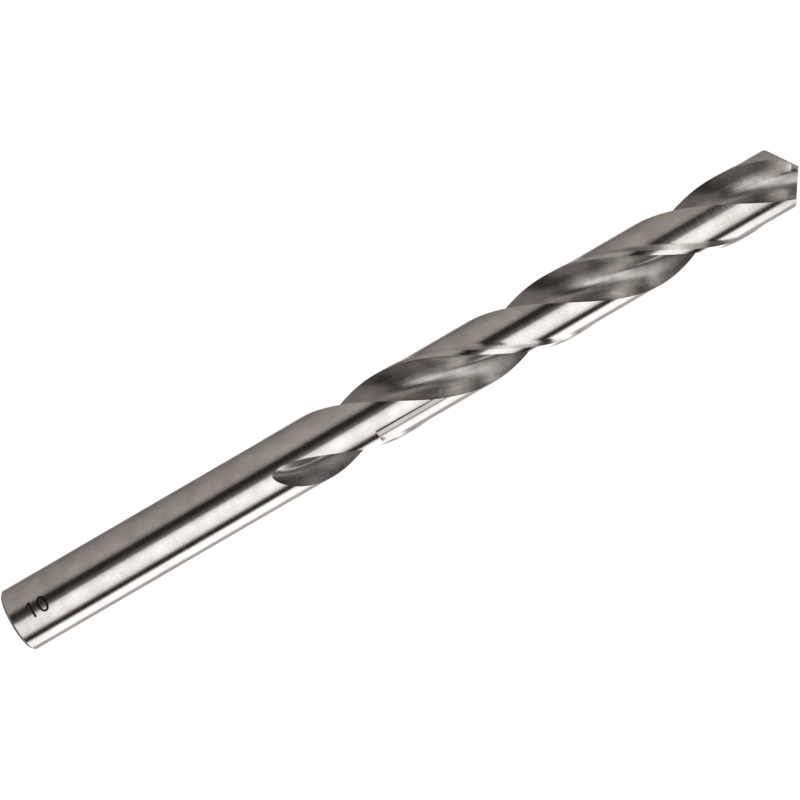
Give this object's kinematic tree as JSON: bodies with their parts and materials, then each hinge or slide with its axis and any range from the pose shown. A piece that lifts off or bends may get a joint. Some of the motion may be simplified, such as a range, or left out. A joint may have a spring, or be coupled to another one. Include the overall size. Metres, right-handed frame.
{
  "type": "twist drill bit",
  "caption": "Round steel bar with a plain straight shank, helical flutes with raised margins and a ground conical point for drilling holes.",
  "frame": {"origin": "centre of the flat end of the shank", "axes": "+Z along the drill from the shank to the point; the side seen in the picture faces -Y"},
  "size_m": [0.01, 0.01, 0.133],
  "materials": {
    "steel": "bright ground, with grinding lines along the flutes"
  },
  "bodies": {
    "root": {"twist_drill": "steel"}
  },
  "joints": []
}
